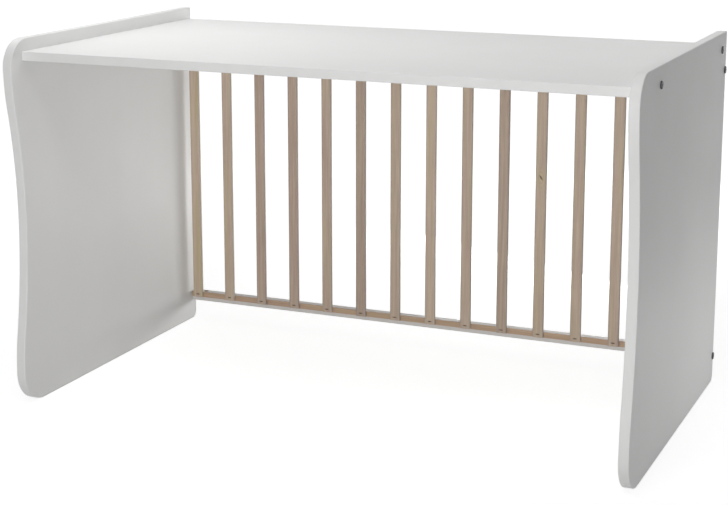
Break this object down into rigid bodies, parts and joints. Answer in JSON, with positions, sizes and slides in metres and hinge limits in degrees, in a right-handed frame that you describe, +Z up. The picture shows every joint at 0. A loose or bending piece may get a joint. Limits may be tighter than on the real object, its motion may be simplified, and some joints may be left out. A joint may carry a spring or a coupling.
{
  "type": "convertible crib in desk form",
  "caption": "Children's crib converted to a desk: wavy end panels, a desk top and a slatted back, bolted together.",
  "frame": {"origin": "on the floor, at the middle of the whole object's length and depth", "axes": "+X along the desk towards its right end, +Y towards the slatted back, +Z up"},
  "size_m": [1.259, 0.712, 0.738],
  "materials": {
    "panel_laminate": "satin white laminated board",
    "desk_laminate": "satin white laminated board",
    "rail_laminate": "satin white laminated board",
    "slat_wood": "matte grey-brown wood",
    "batten_wood": "matte grey-brown wood",
    "staple_steel": "dull steel wire",
    "bolt_steel": "dark bronze plated steel",
    "nut_steel": "zinc plated steel",
    "dowel_beech": "plain beech"
  },
  "bodies": {
    "root": {"left_end_panel": "panel_laminate", "right_end_panel": "panel_laminate", "desk_top": "desk_laminate", "top_rail": "rail_laminate", "bottom_rail": "rail_laminate", "top_slat_batten": "batten_wood", "bottom_slat_batten": "batten_wood", "slat_01": "slat_wood", "slat_02": "slat_wood", "slat_03": "slat_wood", "slat_04": "slat_wood", "slat_05": "slat_wood", "slat_06": "slat_wood", "slat_07": "slat_wood", "slat_08": "slat_wood", "slat_09": "slat_wood", "slat_10": "slat_wood", "slat_11": "slat_wood", "slat_12": "slat_wood", "slat_13": "slat_wood", "slat_14": "slat_wood", "slat_15": "slat_wood", "slat_staples": "staple_steel", "desk_bolts": "bolt_steel", "rail_bolts": "bolt_steel", "desk_barrel_nuts": "nut_steel", "rail_barrel_nuts": "nut_steel", "desk_dowels": "dowel_beech", "rail_dowels": "dowel_beech"}
  },
  "joints": []
}
